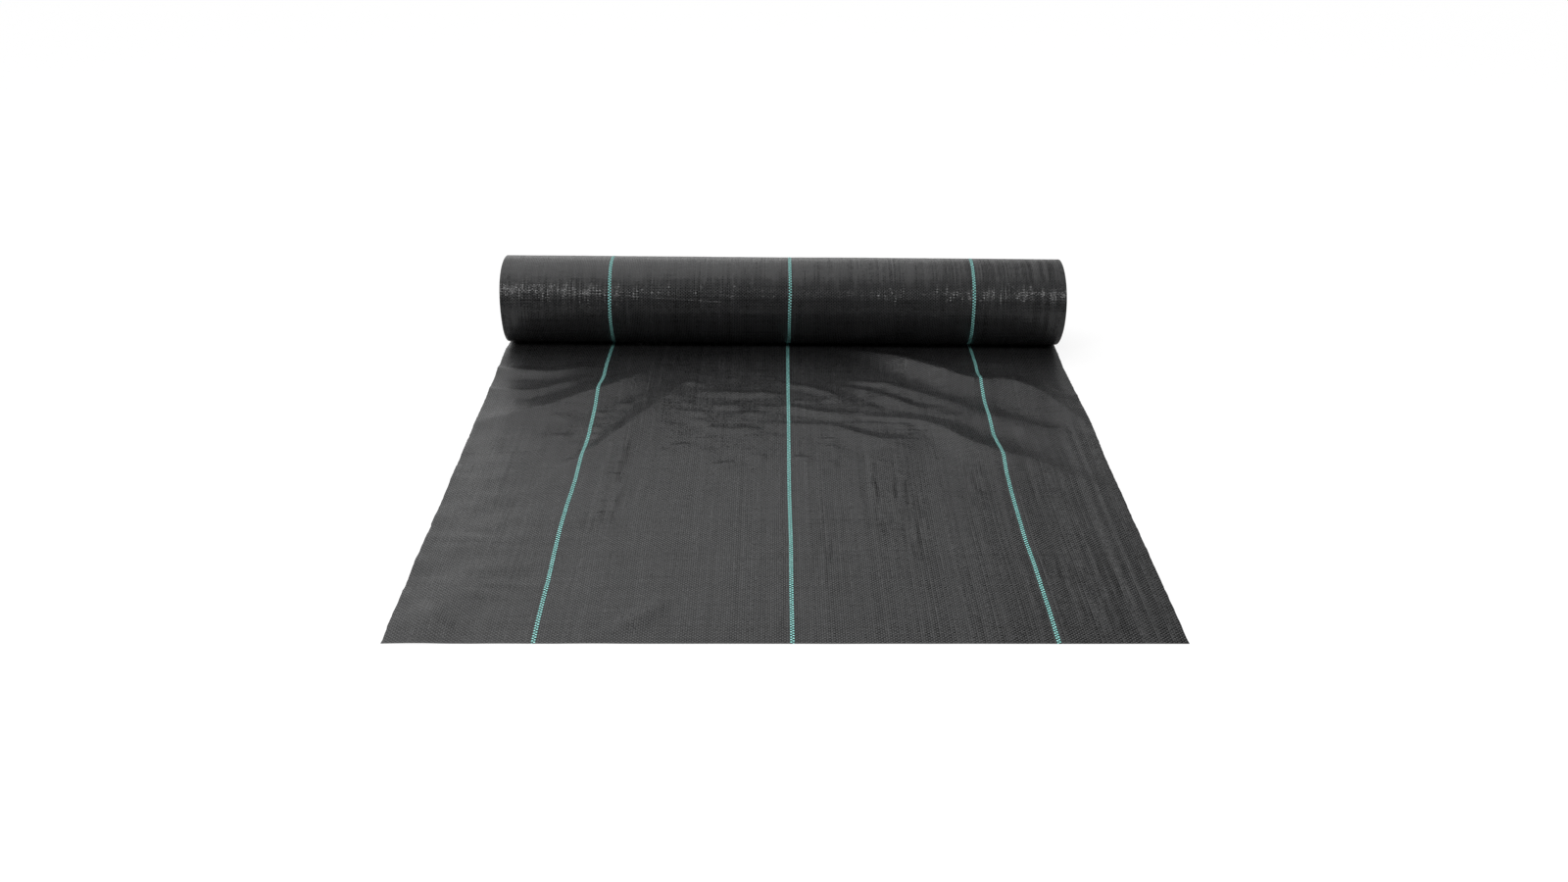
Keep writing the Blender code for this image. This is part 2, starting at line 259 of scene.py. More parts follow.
# Puckers: small short waves, each from its left end (x, y) to its right end, in mm, and how many times
# as high as the height given here
pucker_height = 0.0019
pucker_reach = 0.0088
pucker_waver = 0.0015
puckers = (
    (-170, -172, -120, -180, 1.1),
    (-110, -154, -50, -152, 0.5),
    (-70, -132, -20, -130, 0.5),
    (-120, -247, -55, -244, 1.2),
    (-85, -272, -15, -268, 1.3),
    (-165, -269, -105, -271, 1),
    (-150, -296, -100, -294, 0.7),
    (-125, -309, -75, -321, 1),
    (-90, -323, -25, -317, 1.6),
    (-165, -238, -130, -242, 0.6),
    (-190, -304, -160, -308, 0.7),
    (-50, -243, -10, -249, 0.8),
    (-170, -370, -125, -368, 1.2),
    (-190, -383, -150, -381, 0.9),
    (-125, -385, -95, -381, 0.8),
    (-60, -402, -15, -396, 1),
    (-120, -427, -50, -415, 1.5),
    (-70, -339, -20, -343, 0.4),
    (-120, -342, -90, -346, 0.5),
    (-360, -286, -310, -282, 0.8),
    (-345, -344, -305, -340, 0.8),
    (-290, -320, -265, -316, 0.7),
    (-290, -344, -262, -338, 0.7),
    (-295, -273, -262, -269, 0.8),
    (-260, -238, -225, -240, 0.7),
    (-230, -220, -200, -216, 0.7),
    (-360, -406, -310, -401, 0.3),
    (-420, -228, -400, -234, 0.5),
    (-280, -567, -225, -552, 1),
    (-180, -521, -100, -513, 0.7),
    (0, -402, 50, -406, 1.2),
    (50, -415, 80, -421, 0.8),
    (50, -373, 90, -373, 0.8),
    (50, -353, 85, -345, 0.6),
    (130, -367, 190, -369, 0.6),
    (20, -208, 50, -214, 0.6),
    (50, -223, 100, -220, 1.1),
    (10, -224, 45, -228, 0.7),
    (105, -247, 150, -250, 1.1),
    (155, -303, 200, -307, 0.9),
    (120, -294, 150, -302, 0.6),
    (170, -329, 215, -337, 1),
    (200, -246, 260, -248, 0.6),
    (220, -264, 290, -278, 0.5),
    (235, -153, 262, -163, 0.9),
    (236, -81, 252, -131, 0.9),
    (252, -123, 262, -165, 0.9),
    (279, -89, 302, -143, 0.8),
    (262, -96, 310, -86, 1.1),
    (320, -92, 375, -96, 1.1),
    (330, -302, 370, -332, 0.6),
    (130, -463, 180, -483, 0.4),
)

# Creases pressed along the tapes: x, from y, to y, height in mm and half width. They fade out beyond
# their ends and within them
crease_waver = 0.0012
fade_beyond, fade_within = 0.02, 0.03
creases = (
    (-0.228, -0.33, -0.58, 0.85, 0.009),
    (-0.244, -0.38, -0.57, 0.45, 0.006),
    (0.150, -0.44, -0.62, 0.42, 0.006),
    (0.166, -0.45, -0.66, 0.36, 0.005),
    (0.184, -0.48, -0.64, 0.34, 0.005),
    (0.122, -0.40, -0.62, 0.46, 0.006),
    (0.252, -0.42, -0.56, 0.22, 0.004),
    (0.262, -0.40, -0.55, 0.24, 0.004),
    (0.272, -0.42, -0.52, 0.20, 0.004),
)

# Rungs pressed across the tapes: middle x, half width, from y, to y, spacing, and height in mm
rung_waver = 0.003
rung_fade = 0.02
rungs = (
    (0.150, 0.034, -0.385, -0.625, 0.0205, 1.15),
    (0.262, 0.022, -0.400, -0.520, 0.0260, 0.50),
    (-0.232, 0.020, -0.470, -0.580, 0.0230, 0.40),
)

# Wrinkled places: middle x, y, reach each way, and height in mm
wrinkled_places = (
    (-0.345, -0.715, 0.075, 0.030, 2.4),
    (-0.420, -0.800, 0.035, 0.025, 1.7),
    (-0.370, -0.600, 0.060, 0.040, 1.6),
    (-0.230, -0.740, 0.040, 0.040, 0.9),
    (-0.150, -0.560, 0.080, 0.050, 0.7),
)

# Random swells: seed, number of waves, shortest and longest wave, how many times as long across the web
random_swells = {
    "swell": (11, 12, 0.07, 0.30, 1.0),
    "left swell": (19, 14, 0.05, 0.13, 1.0),
    "cockle": (14, 20, 0.025, 0.06, 3.0),
    "ripple": (12, 16, 0.018, 0.05, 2.2),
    "gather": (17, 22, 0.017, 0.034, 3.6),
    "wrinkle": (23, 16, 0.020, 0.045, 3.0),
}

# Where some swells grow, down the free stretch and across it: start, full, and for some fading and end
ripple_down = (0.10, 0.16, 0.34, 0.46)
gather_down, gather_across = (0.15, 0.20, 0.31, 0.37), (-0.20, -0.14, 0.10, 0.17)
left_swell_down, left_swell_left = (0.30, 0.42), (0.27, 0.40)

# The web's left corner at the roll is lifted. The folds ease out at the roll and, in part, at the cut edge
corner_height = 0.0035
corner_down, corner_left = (0.01, 0.05, 0.075, 0.125), (0.395, 0.457)
ease_at_roll, ease_at_cut_edge = (0.008, 0.05), (0.775, 0.818)
cut_edge_ease_share = 0.8


def fold_rise(x, y, crisps, *crest):
    """A fold's rise: its crest's height at the nearest place, falling off to each side."""
    crisp_back, crisp_front = crisps
    line = through(crest) * mm
    best = np.full(x.shape, np.inf)
    rise = np.zeros(x.shape)
    for start, end in zip(line, line[1:]):
        (ax, ay), (bx, by) = start[:2], end[:2]
        run = (bx - ax, by - ay)
        size = run[0] ** 2 + run[1] ** 2
        share = np.clip(((x - ax) * run[0] + (y - ay) * run[1]) / size, 0, 1)
        off_x, off_y = x - ax - share * run[0], y - ay - share * run[1]
        off = np.hypot(off_x, off_y)
        nearer = off < best
        best = np.where(nearer, off, best)
        side = run[0] * off_y - run[1] * off_x
        turn = smooth(-side / math.sqrt(size) / off.clip(1e-9), -0.6, 0.6)
        height, back, front = (start[k] + share * (end[k] - start[k]) for k in (2, 3, 4))
        away = np.clip(off / (back + (front - back) * turn), 0, 1)
        crisp = crisp_back + (crisp_front - crisp_back) * turn
        body = (1 - crisp) * (0.5 + 0.5 * np.cos(np.pi * away)) + crisp * (1 - away) ** 2
        rise = np.where(nearer, height * body, rise)
    return rise


def waves(x, y, seed, count, short, long, stretch=1.0):
    """A soft random swell, mostly between -1 and 1, of waves between two lengths."""
    pick = np.random.default_rng(seed)
    total = np.zeros(np.broadcast(x, y).shape)
    for _ in range(count):
        size = math.tau / (short * (long / short) ** pick.random())
        turn = pick.random() * math.tau
        kx, ky = size * math.cos(turn) / stretch, size * math.sin(turn)
        total += np.sin(kx * x + ky * y + pick.random() * math.tau)
    return total / math.sqrt(count * 2)


def pucker_rise(x, y, *row):
    """A short wave between its two ends, along a line that wavers a little."""
    *ends, height = row
    left_x, left_y, right_x, right_y = np.array(ends) * mm
    run = (right_x - left_x, right_y - left_y)
    size = math.hypot(*run)
    share = ((x - left_x) * run[0] + (y - left_y) * run[1]) / size**2
    off = ((x - left_x) * run[1] - (y - left_y) * run[0]) / size
    off = off + pucker_waver * np.sin(share * 7 + left_x * 90)
    body = np.exp(-((off / pucker_reach) ** 2)) * np.sin(np.pi * np.clip(share, 0, 1)) ** 2
    return pucker_height * height * body


def crease_length(y, start, end):
    """1 along a crease, fading out at its two ends."""
    from_start = smooth(-y, -start - fade_beyond, -start + fade_within)
    return from_start * smooth(y, end - fade_beyond, end + fade_within)


def crease_rise(x, y, place, start, end, height, reach):
    waver = crease_waver * np.sin(y * 31 + place * 50)
    body = np.clip(1 - np.abs(x - place - waver) / reach, 0, 1) ** 1.5
    return height * mm * body * crease_length(y, start, end)


def rung_rise(x, y, place, half, start, end, spacing, height):
    """A row of short ridges across the tapes, of uneven height."""
    body = np.cos(math.tau * (y + rung_waver * np.sin(x * 140)) / spacing).clip(0, 1) ** 2
    body = body * (1 - smooth(np.abs(x - place), half * 0.55, half))
    body = body * smooth(-y, -start, -start + rung_fade) * smooth(y, end, end + rung_fade)
    return height * mm * body * (0.6 + 0.4 * np.sin(y * 77 + x * 60))


def swell_rise(x, y):
    """The random part: a swell all over, more of it on the left, and places gathered or wrinkled."""
    swell = {name: 0.5 + 0.5 * waves(x, y, *kind) for name, kind in random_swells.items()}
    near = within(-y, *ripple_down)
    left = smooth(-x, *left_swell_left) * smooth(-y, *left_swell_down)
    gathered = within(-y, *gather_down) * within(x, *gather_across)
    wrinkled = 0.6 * left
    for place_x, place_y, reach_x, reach_y, height in wrinkled_places:
        off = ((x - place_x) / reach_x) ** 2 + ((y - place_y) / reach_y) ** 2
        wrinkled = wrinkled + height * np.exp(-off)
    return mm * (
        0.9 * swell["swell"]
        + 3.0 * left * swell["left swell"]
        + 0.28 * swell["cockle"]
        + (0.12 + 0.30 * near) * swell["ripple"]
        + 0.45 * gathered * swell["gather"]
        + wrinkled * swell["wrinkle"]
    )


def cloth_rise(x, y):
    """How far the free stretch stands off the ground by its folds, puckers, creases and swell."""
    rise = swell_rise(x, y)
    for shape, rows in (
        (fold_rise, folds),
        (pucker_rise, puckers),
        (crease_rise, creases),
        (rung_rise, rungs),
    ):
        for row in rows:
            rise = rise + shape(x, y, *row)
    rise = rise + corner_height * smooth(-x, *corner_left) * within(-y, *corner_down)
    rise = rise.clip(0) * (1 - cut_edge_ease_share * smooth(-y, *ease_at_cut_edge))
    return rise * smooth(-y, *ease_at_roll)


# Pressed places, where the tapes are creased: middle x, y, half widths and how strong, and how strongly
# they are creased everywhere and along the creases. There the tapes' normals lean, and strokes of painted
# shade darken them
pressed_everywhere, pressed_along_creases = 0.04, 0.5
pressed_places = (
    (0.145, -0.55, 0.050, 0.115, 0.42),
    (0.262, -0.47, 0.024, 0.085, 0.42),
    (0.34, -0.47, 0.045, 0.070, 0.35),
    (-0.232, -0.47, 0.020, 0.130, 0.45),
    (-0.250, -0.57, 0.035, 0.030, 0.45),
    (0.36, -0.72, 0.100, 0.110, 0.40),
    (0.06, -0.62, 0.040, 0.120, 0.35),
)


def pressed_marks(x, y):
    """How much the tapes are creased at each point: a little everywhere, more at the marks."""
    total = np.full(x.shape, pressed_everywhere)
    for place, start, end, _, reach in creases:
        body = 1 - smooth(np.abs(x - place), reach * 0.3, reach)
        total += pressed_along_creases * body * crease_length(y, start, end)
    for place_x, place_y, half_x, half_y, strength in pressed_places:
        off = np.hypot((x - place_x) / half_x, (y - place_y) / half_y)
        total += strength * (1 - smooth(off, 0.3, 1.2))
    return total.clip(0, 1)


# Where the web's edges and stripes run, as (y, x) along the free stretch
edge_and_stripe_lines = {
    "left_edge": (
        (0, -0.4572), (-0.06, -0.458), (-0.23, -0.458), (-0.4, -0.4572), (-0.82, -0.4572),
    ),
    "left": (
        (0, -0.2822), (-0.054, -0.2852), (-0.10, -0.2866), (-0.14, -0.2861), (-0.18, -0.2880),
        (-0.26, -0.2865), (-0.335, -0.2853), (-0.40, -0.2869), (-0.47, -0.2877),
        (-0.53, -0.2898), (-0.59, -0.2903), (-0.64, -0.2896), (-0.70, -0.2880),
        (-0.78, -0.2876), (-0.82, -0.2867),
    ),
    "middle": (
        (0, 0.0082), (-0.05, 0.0075), (-0.18, 0.0069), (-0.30, 0.0066), (-0.43, 0.0059),
        (-0.50, 0.0057), (-0.61, 0.0066), (-0.71, 0.0060), (-0.82, 0.0060),
    ),
    "right": (
        (0, 0.3120), (-0.045, 0.3136), (-0.09, 0.3138), (-0.13, 0.3125), (-0.175, 0.3106),
        (-0.25, 0.3091), (-0.33, 0.3077), (-0.36, 0.3091), (-0.40, 0.3111), (-0.43, 0.3096),
        (-0.49, 0.3077), (-0.61, 0.3066), (-0.66, 0.3081), (-0.76, 0.3091), (-0.82, 0.3091),
    ),
    "right_edge": (
        (0, 0.4572), (-0.05, 0.4568), (-0.10, 0.4552), (-0.16, 0.4565), (-0.22, 0.4574),
        (-0.40, 0.4572), (-0.82, 0.4572),
    ),
}

# Where the stripes lie across the free stretch, before those lines move them, and across the roll
stripe_places = {"left": -0.2872, "middle": 0.0066, "right": 0.3100}
roll_stripe_places = {"left": -0.2802, "middle": 0.0096, "right": 0.3073}

# How far out of square the cut edge is at each side, and how rough the web's two long edges are
cut_skew = 0.0029
edge_roughness = 0.00022

# The mesh of the free stretch: its columns, and its rows up the roll, over the folds and beyond them
cloth_columns = 241
folds_end = 0.42
hug_rows, fold_rows, flat_rows = 7, 127, 70


def line_place(name, y):
    points = np.array(edge_and_stripe_lines[name])[::-1]
    return np.interp(y, points[:, 0], points[:, 1])


def web_grid(across, along):
    """The middle of the cloth's thickness over a grid of across and along places, shape and all."""
    u, a = np.meshgrid(across, along)
    half_width = web_width / 2
    y = -np.clip(a, 0, None)
    knots = np.array([-half_width, *stripe_places.values(), half_width])
    x = u.copy()
    for name, knot, own in zip(edge_and_stripe_lines, knots, np.eye(len(knots))):
        x += (line_place(name, y) - knot) * np.interp(u, knots, own)
    rough = np.random.default_rng(5).normal(0, edge_roughness, (len(along), 2))
    x[:, :1] += rough[:, :1]
    x[:, -1:] += rough[:, 1:]
    rest = cloth_thickness / 2 + cloth_lift
    under_roll = axis_height - hug_radius
    z = rest + cloth_rise(x, y) + (under_roll - rest) * smooth(y, -contact_slope_length, 0)
    y = y * (1 + cut_skew * -x / half_width / laid_length)
    angle = np.clip(-a, 0, None) / hug_radius
    radius = hug_radius - hug_ease * smooth(angle, hug_angle * 0.4, hug_angle)
    y = np.where(a < 0, radius * np.sin(angle), y)
    z = np.where(a < 0, axis_height - radius * np.cos(angle), z)
    return np.stack([x, y, z], -1)


def along_places():
    """Rows from the edge behind the roll to the cut edge, close together where the folds are."""
    return np.concatenate(
        [
            np.linspace(-hug_angle * hug_radius, 0, hug_rows)[:-1],
            np.linspace(0, folds_end, fold_rows)[:-1],
            np.linspace(folds_end, laid_length, flat_rows),
        ]
    )


def columns_at(places, across, grid):
    """A grid's columns at other places across it."""
    return np.stack([[np.interp(places, across, row[:, k]) for row in grid] for k in range(3)], -1)


def make_laid_cloth(cloth, tape):
    along = along_places()
    across = np.linspace(-web_width / 2, web_width / 2, cloth_columns)
    middle = web_grid(across, along)
    normals = grid_normals(middle)
    half = cloth_thickness / 2
    points, faces = shell(middle + normals * half, middle - normals * half)
    item = add_mesh("laid_cloth", points, faces, np.tile(across, len(along) * 2))
    set_attribute(item.data, "marks", pressed_marks(points[:, 0], points[:, 1]))
    item.data.materials.append(cloth)
    stripes = []
    reach = half + stripe_proud * np.array(stripe_profile)[None, :, None]
    for side, place in stripe_places.items():
        own = np.linspace(place - stripe_half_width, place + stripe_half_width, len(stripe_profile))
        base = columns_at(own, across, middle)
        facing = columns_at(own, across, normals)
        points, faces = shell(base + facing * reach, base - facing * reach)
        stripe = add_mesh(side + "_stripe_laid", points, faces, np.tile(own - place, len(along) * 2))
        stripe.data.materials.append(tape)
        stripes.append(stripe)
    return item, stripes


# Roll

# How the roll's face is out of round: height, waves round it, phase, and how they shift along it
roll_waves = (
    (0.00010, 2, 0.4, 9.0),
    (0.00009, 3, 2.1, -14.0),
    (0.00006, 5, 4.0, 23.0),
    (0.00005, 8, 1.3, -31.0),
    (0.00003, 13, 5.2, 44.0),
)

# How tightly the web is wound from place to place: height, then seed, number and lengths of the waves
tightness = 0.00007
tightness_waves = (21, 14, 0.010, 0.06)

# How far each turn's edge is set in from the web's edge: the least, and how much more at most. For the
# outer turn: the mean and its waves as (height, waves round it, phase), and how much of it is drawn in
least_set_in = 0.0003
more_set_in = 0.0011
set_in_left = (0.0016, (0.0012, 1, 0.6), (0.0005, 3, 0))
set_in_right = (0.0009, (0.0006, 2, 1.9))
ring_end_length = 0.02

# Stripe on the roll: how far it wanders as it goes round, and how deep it is let in
stripe_wander = 0.0004
stripe_depth = 0.0003

# Core: the groove between its plies and the chamfer of its ends
groove_depth = 0.00035
groove_width_share = 0.02
core_chamfer = 0.0005
core_chamfer_length = 0.0012

# The meshes of the outer turn, of the turns inside it, of a stripe and of the core
ring_sides, ring_columns, turn_sides, stripe_sides = 180, 229, 72, 240
core_sides, core_columns = 96, 161


def round_roll(x, reach, angle):
    """The points at a reach from the roll's axis, at angles that start below it and go up its back."""
    return np.stack([x, reach * np.sin(angle), axis_height - reach * np.cos(angle)], -1)


def roll_face(angle, x, lift):
    """The points of the roll's face, lifted off it by so much."""
    swell = sum(
        height * np.sin(count * angle + phase + x * drift) for height, count, phase, drift in roll_waves
    )
    tight = tightness * waves(x, 0 * x, *tightness_waves)
    return round_roll(x, roll_radius + swell + tight + lift, angle)


def ring_set_in(angles, mean, *ripples):
    """How far the outer turn's end is set in, round the roll."""
    return mean + sum(height * np.sin(count * angles + phase) for height, count, phase in ripples)


def make_ring():
    """The outer turn as a closed ring: its points, faces and places across. Its ends aren't straight."""
    half_width = web_width / 2
    angles = np.arange(ring_sides) * math.tau / ring_sides
    angle, x = np.meshgrid(angles, np.linspace(-half_width, half_width, ring_columns), indexing="ij")
    left, right = (ring_set_in(angles, *row)[:, None] for row in (set_in_left, set_in_right))
    x = x + left * smooth(-x, half_width - ring_end_length, half_width)
    x = x - right * smooth(x, half_width - ring_end_length, half_width)
    ends = np.stack([x[:, 0], x[:, -1]], -1)
    points = [roll_face(angle, x, 0), roll_face(angle[:, :2], ends, -ring_thickness)]
    outer = grid_index(ring_sides, ring_columns, ring=True)
    inner = grid_index(ring_sides, 2, first=ring_sides * ring_columns, ring=True)
    faces = [quads(outer), quads(inner)[:, [0, 3, 2, 1]]]
    faces += [join_rows(outer[:, column], inner[:, column]) for column in (0, -1)]
    points = np.concatenate([grid.reshape(-1, 3) for grid in points])
    return points, np.concatenate(faces), np.concatenate([x.reshape(-1), ends.reshape(-1)])


def make_turns():
    """The turns inside the ring as one strip: its points, faces, places across and length."""
    turn = np.arange(turns * turn_sides + 1) / turn_sides
    angle = turn * math.tau
    radius = outer_turn - turn_pitch * turn
    pick = np.random.default_rng(8)
    set_in = [least_set_in + more_set_in * pick.random(turns + 2) for _ in range(2)]
    left, right = (np.interp(turn, np.arange(turns + 2), row) for row in set_in)
    ends = np.stack([left - web_width / 2, web_width / 2 - right], -1)

    def face(reach):
        return round_roll(ends, np.repeat(reach[:, None], 2, 1), np.repeat(angle[:, None], 2, 1))

    points, faces = shell(face(radius), face(radius - turn_pitch * turn_fill))
    length = float(np.hypot(np.diff(radius), radius[:-1] * math.tau / turn_sides).sum())
    return points, faces, np.tile(ends.reshape(-1), 2), length


def make_roll_cloth(cloth):
    """The outer turn and the turns inside it, and how long a web they hold."""
    ring, ring_faces, ring_across = make_ring()
    strip, strip_faces, strip_across, length = make_turns()
    item = add_mesh(
        "roll_cloth",
        np.concatenate([ring, strip]),
        np.concatenate([ring_faces, strip_faces + len(ring)]),
        np.concatenate([ring_across, strip_across]),
    )
    item.data.materials.append(cloth)
    return item, length + math.tau * roll_radius


def make_roll_stripe(side, place, tape):
    angles = np.arange(stripe_sides) * math.tau / stripe_sides
    own = np.linspace(-stripe_half_width, stripe_half_width, len(stripe_profile))
    angle, off = np.meshgrid(angles, own, indexing="ij")
    x = place + off + stripe_wander * (np.sin(angle * 2 + place * 9) + 0.5 * np.sin(angle * 5))
    proud = stripe_proud * np.array(stripe_profile)[None, :]
    points, faces = shell(roll_face(angle, x, proud), roll_face(angle, x, -stripe_depth), ring=True)
    stripe = add_mesh(side + "_stripe_roll", points, faces, np.tile(off.reshape(-1), 2))
    stripe.data.materials.append(tape)
    return stripe


def make_core(card):
    """A spiral-wound tube, with a shallow groove in its bore where the edges of its plies meet."""
    half = web_width / 2 - core_setback
    angles = np.arange(core_sides) * math.tau / core_sides
    angle, x = np.meshgrid(angles, np.linspace(-half, half, core_columns), indexing="ij")
    phase = (x / ply_lead + angle / math.tau) % 1
    groove = groove_depth * np.exp(-(((phase - 0.5) / groove_width_share) ** 2))
    chamfer = core_chamfer * smooth(np.abs(x), half - core_chamfer_length, half)
    outside = round_roll(x, core_radius - chamfer, angle)
    inside = round_roll(x, core_bore_radius + groove + chamfer, angle)
    points, faces = shell(outside, inside, ring=True)
    item = add_mesh("core", points, faces, np.tile(x.reshape(-1), 2))
    item.data.materials.append(card)
    return item


# Materials

class Value:
    """A number in a node tree, so that formulas read as formulas."""

    def __init__(self, tree, socket):
        self.tree, self.socket = tree, socket

    def node(self, operation, *others):
        node = self.tree.nodes.new("ShaderNodeMath")
        node.operation = operation
        for value, socket in zip((self, *others), node.inputs):
            feed(self.tree, value, socket)
        return Value(self.tree, node.outputs[0])

    def __add__(self, other):
        return self.node("ADD", other)

    def __sub__(self, other):
        return self.node("SUBTRACT", other)

    def __mul__(self, other):
        return self.node("MULTIPLY", other)

    def __truediv__(self, other):
        return self.node("DIVIDE", other)

    def less_from(self, whole):
        return (self * -1) + whole

    def between(self, start, end):
        """0 at start, 1 at end and smooth between."""
        node = self.tree.nodes.new("ShaderNodeMapRange")
        node.interpolation_type = "SMOOTHSTEP"
        self.tree.links.new(self.socket, node.inputs["Value"])
        node.inputs["From Min"].default_value = start
        node.inputs["From Max"].default_value = end
        return Value(self.tree, node.outputs["Result"])


def feed(tree, value, socket):
    """Gives a socket a value of the tree, an output or a plain number."""
    if isinstance(value, (int, float)):
        socket.default_value = value
    else:
        tree.links.new(value.socket if isinstance(value, Value) else value, socket)


def join(tree, *numbers):
    """The vector of two or three numbers."""
    node = tree.nodes.new("ShaderNodeCombineXYZ")
    for number, socket in zip(numbers, node.inputs):
        feed(tree, number, socket)
    return node.outputs[0]


def split(tree, vector):
    """The three numbers of a vector."""
    node = tree.nodes.new("ShaderNodeSeparateXYZ")
    feed(tree, vector, node.inputs[0])
    return [Value(tree, output) for output in node.outputs]


def random_of(tree, one, two=None):
    """A random number from 0 to 1 for each whole number, or pair of them."""
    node = tree.nodes.new("ShaderNodeTexWhiteNoise")
    if two is None:
        node.noise_dimensions = "1D"
        feed(tree, one, node.inputs["W"])
    else:
        node.noise_dimensions = "2D"
        feed(tree, join(tree, one, two), node.inputs["Vector"])
    return Value(tree, node.outputs["Value"])


def noise_of(tree, x, y, detail=1.0, z=0.0):
    """Soft noise over x and y, about one lump to a unit. Another z gives another noise."""
    node = tree.nodes.new("ShaderNodeTexNoise")
    node.inputs["Scale"].default_value = 1.0
    node.inputs["Detail"].default_value = detail
    feed(tree, join(tree, x, y, z), node.inputs["Vector"])
    return Value(tree, node.outputs[0])


def mix_colour(tree, share, first, second):
    node = tree.nodes.new("ShaderNodeMix")
    node.data_type = "RGBA"
    feed(tree, share, node.inputs["Factor"])
    for value, socket in ((first, node.inputs["A"]), (second, node.inputs["B"])):
        if isinstance(value, tuple):
            socket.default_value = (*value, 1.0)
        else:
            feed(tree, value, socket)
    return node.outputs["Result"]


def lean_normal(tree, slope_u, slope_v):
    """The surface's normal, leant over by slopes across and along the web."""
    facing = tree.nodes.new("ShaderNodeNewGeometry").outputs["Normal"]

    def vector(operation, *parts, scale=None):
        node = tree.nodes.new("ShaderNodeVectorMath")
        node.operation = operation
        for part, socket in zip(parts, node.inputs):
            feed(tree, part, socket)
        if scale is not None:
            feed(tree, scale, node.inputs["Scale"])
        return node.outputs[0]

    round_way = vector("CROSS_PRODUCT", facing, join(tree, 1.0, 0.0, 0.0))
    leant = vector("SUBTRACT", facing, join(tree, slope_u, 0.0, 0.0))
    leant = vector("SUBTRACT", leant, vector("SCALE", round_way, scale=slope_v))
    return vector("NORMALIZE", leant)


def new_material(name):
    material = bpy.data.materials.new(name)
    material.use_nodes = True
    return material, material.node_tree, material.node_tree.nodes["Principled BSDF"]


def read_attribute(tree, name):
    node = tree.nodes.new("ShaderNodeAttribute")
    node.attribute_name = name
    return Value(tree, node.outputs["Fac"])


def place_of(tree):
    """How far back from the roll's axis and how far up from it a point is."""
    _, back, up = split(tree, tree.nodes.new("ShaderNodeTexCoord").outputs["Object"])
    return back, up - axis_height


def web_places(tree, on_roll):
    """Across and along, read from the surface."""
    back, up = place_of(tree)
    along = back.node("ARCTAN2", up) * roll_radius if on_roll else back
    return read_attribute(tree, "across"), along


# How the tapes lie. Crown: how round a tape is across. Arch and bow: how it dips where it goes under the
# next one, steeply at its ends and evenly. Tilt: how far whole tapes lean. Streak: how a warp tape rocks
# along its length. Single: how far the tapes of one crossing lean. Loose: how the whole cloth cockles.
laid_weave = dict(crown=0.7, arch=2.4, bow=0.6, tilt=0.20, streak=0.55, single=0.10, loose=0.03)
roll_weave = dict(crown=0.7, arch=2.8, bow=0.0, tilt=0.28, streak=0.80, single=0.13, loose=0.05)
stripe_weave = dict(crown=0.9, arch=1.6, bow=0.6, tilt=0.20, streak=0.50, single=0.10, loose=0.20)

# How far apart neighbouring tapes are in a noise that runs along them
tape_step = 0.61


def weave(tree, across, along, pitch, crown, arch, bow, tilt, streak, single, loose):
    """The plain weave at a place: its tapes' numbers, which is on top, how it leans, gaps and seams."""
    u, v = across / pitch, along / weft_pitch
    warp, weft = u.node("FLOOR"), v.node("FLOOR")
    fu, fv = u - warp - 0.5, v - weft - 0.5
    over = (warp + weft).node("FLOORED_MODULO", 2.0).node("GREATER_THAN", 0.5)
    under = over.less_from(1)
    cell = random_of(tree, warp, weft)

    def warp_noise(rate, shift, detail=1.0):
        return noise_of(tree, warp * tape_step + shift, along * rate, detail)

    def weft_noise(rate, shift, detail=1.0):
        return noise_of(tree, across * rate, weft * tape_step + shift, detail)

    own = (cell - 0.5) * single
    lean_warp = (random_of(tree, warp) - 0.5) * tilt + own
    lean_weft = (weft_noise(9, 51) - 0.5) * (tilt * 1.3) + own
    rock = (warp_noise(90, 7, 2.0) - 0.5) * (single * 1.4) + (warp_noise(11, 31) - 0.5) * streak
    sway = (weft_noise(90, 23, 2.0) - 0.5) * (single * 1.3)
    cockle_u = (noise_of(tree, across * 75, along * 75, 3.0, 3.0) - 0.5) * loose
    cockle_v = (noise_of(tree, across * 75, along * 75, 3.0, 9.0) - 0.5) * loose
    dip_u, dip_v = fu * fu * fu, fv * fv * fv
    slope_u = over * (lean_warp - dip_u * crown) + under * (sway - fu * bow - dip_u * arch) + cockle_u
    slope_v = under * (lean_weft - dip_v * crown) + over * (rock - fv * bow - dip_v * arch) + cockle_v
    edge_u, edge_v = fu.node("ABSOLUTE"), fv.node("ABSOLUTE")
    slack = weft_noise(24, 70).between(0.52, 0.68) + warp_noise(7, 90).between(0.54, 0.70)
    gap = edge_u.between(0.28, 0.42) * edge_v.between(0.22, 0.40) * (slack * 0.75 + 0.35)
    seam = over * edge_u.between(0.38, 0.48) + under * edge_v.between(0.36, 0.48)
    return {
        "warp": warp,
        "weft": weft,
        "cell": cell,
        "over": over,
        "under": under,
        "tone": over * warp_noise(14, 0) + under * weft_noise(14, 40),
        "slope_u": slope_u,
        "slope_v": slope_v,
        "gap": gap,
        "seam": seam,
    }


# The cloth's colours, from the darkest tape to the lightest, and how strong its bands and spots are. The
# painted shade colour is painted shade: it darkens the gaps between tapes, the seams where a tape goes
# under the next, and strokes at the creased places
darkest_tape = (0.001, 0.0011, 0.0012)
painted_shade_colour = (0.003, 0.003, 0.0033)
laid_look = dict(lightest_tape=(0.057, 0.0575, 0.059), bands=0.9, spots=0.2, ior=1.49)
# The roll's copy of the same cloth has its lightest tape half as light as the free stretch's: painted
# shade on the roll
shaded_roll_look = dict(lightest_tape=(0.028, 0.0285, 0.030), bands=1.9, spots=0.5, ior=1.54)

# The turns' edges, on the roll's ends: colours and roughness
dark_edge, light_edge = (0.006, 0.006, 0.0065), (0.060, 0.061, 0.063)
edge_finish = 0.55

